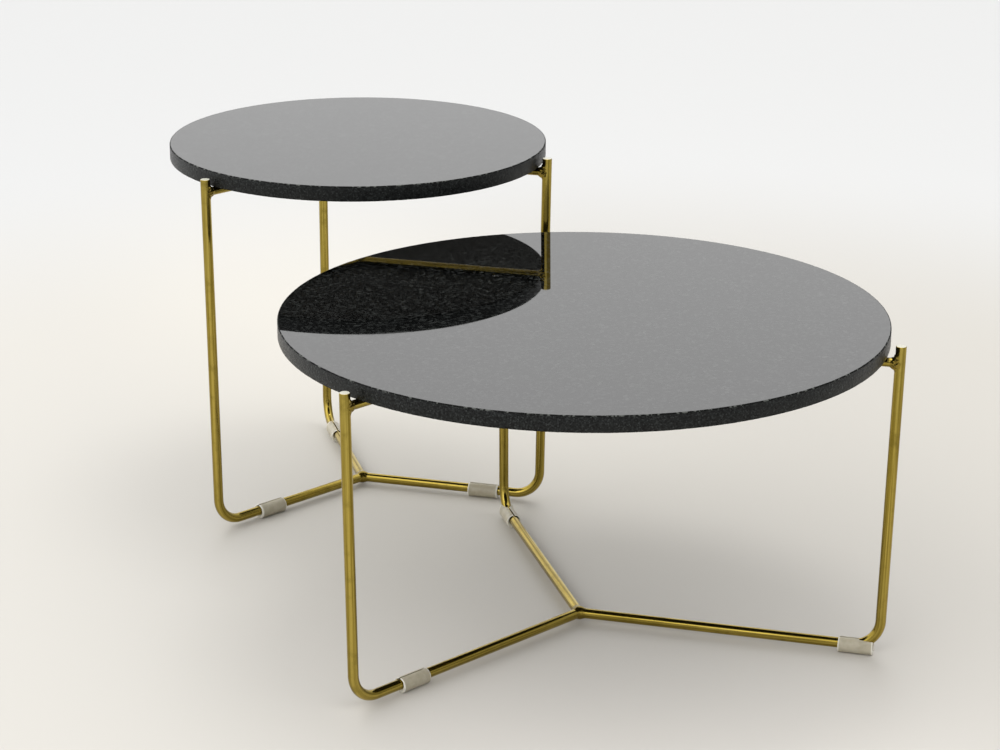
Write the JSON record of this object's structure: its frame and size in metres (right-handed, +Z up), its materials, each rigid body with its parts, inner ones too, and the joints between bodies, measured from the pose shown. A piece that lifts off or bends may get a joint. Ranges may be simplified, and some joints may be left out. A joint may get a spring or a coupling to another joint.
{
  "type": "nesting tables",
  "caption": "Pair of round stone-topped side tables that tuck over one another, on brass-coloured rod frames with bent legs.",
  "frame": {"origin": "on the floor, under the middle of the pair's bounding box", "axes": "+Z up; +Y from the large, low table towards the small, tall one, along each table's rear leg; +X to the right as seen from the large table's side"},
  "size_m": [0.7814, 1.1643, 0.496],
  "materials": {
    "stone": "polished black granite with a honed rim",
    "rod": "polished",
    "weld": "brushed weld, plated with the rods",
    "glide": "off-white, slightly translucent",
    "pad": "clear soft bumper"
  },
  "bodies": {
    "large_frame": {"large_leg_left": "rod", "large_arm_left": "rod", "large_glide_left": "glide", "large_pad_left": "pad", "large_arm_weld_left": "weld", "large_leg_right": "rod", "large_arm_right": "rod", "large_glide_right": "glide", "large_pad_right": "pad", "large_arm_weld_right": "weld", "large_leg_rear": "rod", "large_arm_rear": "rod", "large_glide_rear": "glide", "large_pad_rear": "pad", "large_arm_weld_rear": "weld", "large_floor_hub_weld": "weld", "large_arm_hub_weld": "weld"},
    "large_top": {"large_stone_top": "stone"},
    "small_frame": {"small_leg_left": "rod", "small_arm_left": "rod", "small_glide_left": "glide", "small_pad_left": "pad", "small_arm_weld_left": "weld", "small_leg_right": "rod", "small_arm_right": "rod", "small_glide_right": "glide", "small_pad_right": "pad", "small_arm_weld_right": "weld", "small_leg_rear": "rod", "small_arm_rear": "rod", "small_glide_rear": "glide", "small_pad_rear": "pad", "small_arm_weld_rear": "weld", "small_floor_hub_weld": "weld", "small_arm_hub_weld": "weld"},
    "small_top": {"small_stone_top": "stone"}
  },
  "joints": [
    {"name": "small_table_slide", "type": "slide", "parent": "large_frame", "child": "small_frame", "axis": [0.8721, -0.4893, 0], "range_m": [-0.2, 0.187]},
    {"name": "large_top_lift", "type": "slide", "parent": "large_frame", "child": "large_top", "axis": [0, 0, 1], "range_m": [0, 0.05]},
    {"name": "small_top_lift", "type": "slide", "parent": "small_frame", "child": "small_top", "axis": [0, 0, 1], "range_m": [0, 0.1]}
  ]
}
